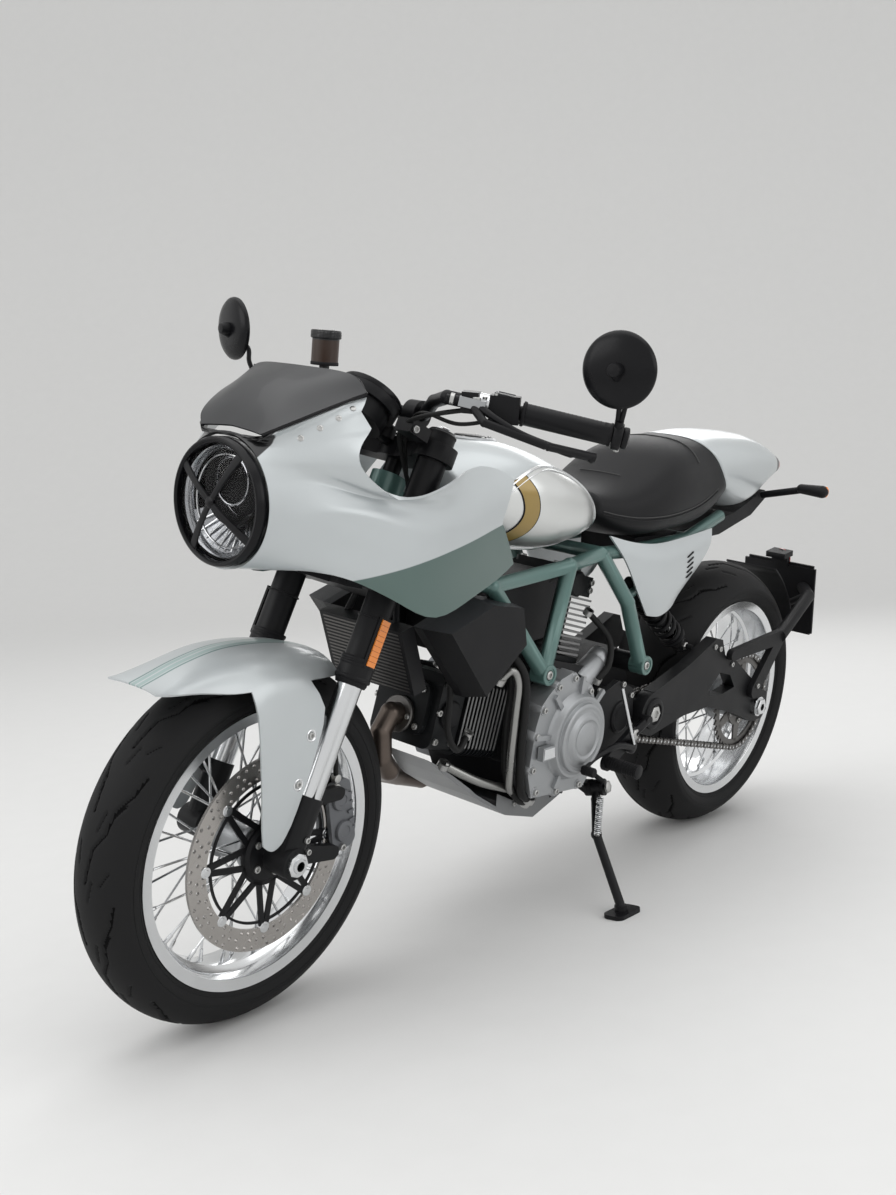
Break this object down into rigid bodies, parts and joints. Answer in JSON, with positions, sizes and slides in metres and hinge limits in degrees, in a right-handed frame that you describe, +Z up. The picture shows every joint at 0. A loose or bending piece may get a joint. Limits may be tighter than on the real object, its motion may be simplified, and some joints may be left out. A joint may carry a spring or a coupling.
{
  "type": "cafe racer motorcycle",
  "caption": "Cafe racer motorcycle with round-headlamp half fairing, long tank, humped seat and trellis frame, leaning on its side stand.",
  "frame": {"origin": "on the ground, under the middle of the parked motorcycle's bounding box", "axes": "+X forward along the wheel line, +Y to the rider's left, the side it leans to on its stand, +Z up"},
  "size_m": [2.119, 0.9541, 1.2059],
  "materials": {
    "silver_paint": "metallic gloss",
    "green_paint": "satin",
    "black_paint": "satin",
    "cast_grey": "cast matte",
    "cast_silver": "satin",
    "cast_black": "cast matte",
    "header_steel": "heat-tinted",
    "bright_steel": "polished",
    "dark_steel": "oiled",
    "disc_steel": "ground",
    "panel_metal": "brushed",
    "black_plastic": "matte",
    "dark_grey_plastic": "satin",
    "smoked_screen": "gloss",
    "lamp_glass": "clear",
    "amber_plastic": "gloss",
    "red_plastic": "gloss",
    "black_leather": "smooth",
    "tyre_rubber": "matte",
    "rim_metal": "polished"
  },
  "bodies": {
    "chassis": {"frame": "green_paint", "crankcase": "cast_grey", "left_engine_cover": "cast_silver", "right_engine_cover": "cast_grey", "front_cylinder": "cast_black", "rear_cylinder": "cast_black", "exhaust": "header_steel", "air_box": "black_plastic", "fuel_tank": "silver_paint", "tank_side_panels": "panel_metal", "seat": "black_leather", "rear_tray": "black_plastic", "tail_cowl": "silver_paint", "tail_light": "red_plastic", "rear_indicators": "black_plastic", "side_covers": "silver_paint", "fairing": "silver_paint", "windscreen": "smoked_screen", "headlight": "black_plastic", "headlight_lens": "lamp_glass", "fairing_stay": "black_paint", "cooler_shrouds": "dark_grey_plastic", "oil_cooler": "cast_black", "swingarm": "cast_black", "rear_shock": "black_paint", "rear_axle": "bright_steel", "rear_caliper": "cast_grey", "chain": "dark_steel", "plate_bracket": "black_plastic", "belly_pan": "cast_silver", "footrests": "black_paint"},
    "steering": {"yokes": "cast_black", "fork_tubes": "black_paint", "stanchions": "bright_steel", "fork_feet": "black_paint", "front_axle": "bright_steel", "front_caliper": "cast_grey", "front_mudguard": "silver_paint", "handlebar": "black_paint", "hand_controls": "black_plastic", "brake_reservoir": "amber_plastic", "mirrors": "black_plastic", "instruments": "black_plastic"},
    "front_wheel": {"front_tyre": "tyre_rubber", "front_rim": "rim_metal", "front_disc": "disc_steel"},
    "rear_wheel": {"rear_tyre": "tyre_rubber", "rear_rim": "rim_metal", "rear_sprocket": "dark_steel", "rear_disc": "disc_steel"},
    "side_stand": {"side_stand": "black_paint"}
  },
  "joints": [
    {"name": "steering", "type": "hinge", "parent": "chassis", "child": "steering", "pos_m": [0.5028, -0.05053, 0.78785], "axis": [-0.4067, 0.1586, 0.8997], "range_deg": [-28, 28]},
    {"name": "front_wheel", "type": "hinge", "parent": "steering", "child": "front_wheel", "pos_m": [0.75836, -0.13718, 0.29641], "axis": [0, 0.9848, -0.1736], "continuous": true},
    {"name": "rear_wheel", "type": "hinge", "parent": "chassis", "child": "rear_wheel", "pos_m": [-0.68636, -0.13447, 0.31183], "axis": [0, 0.9848, -0.1736], "continuous": true},
    {"name": "side_stand", "type": "hinge", "parent": "chassis", "child": "side_stand", "pos_m": [-0.0762, -0.01905, 0.21772], "axis": [-0.1893, 0.9774, 0.0938], "range_deg": [0, 90]}
  ]
}
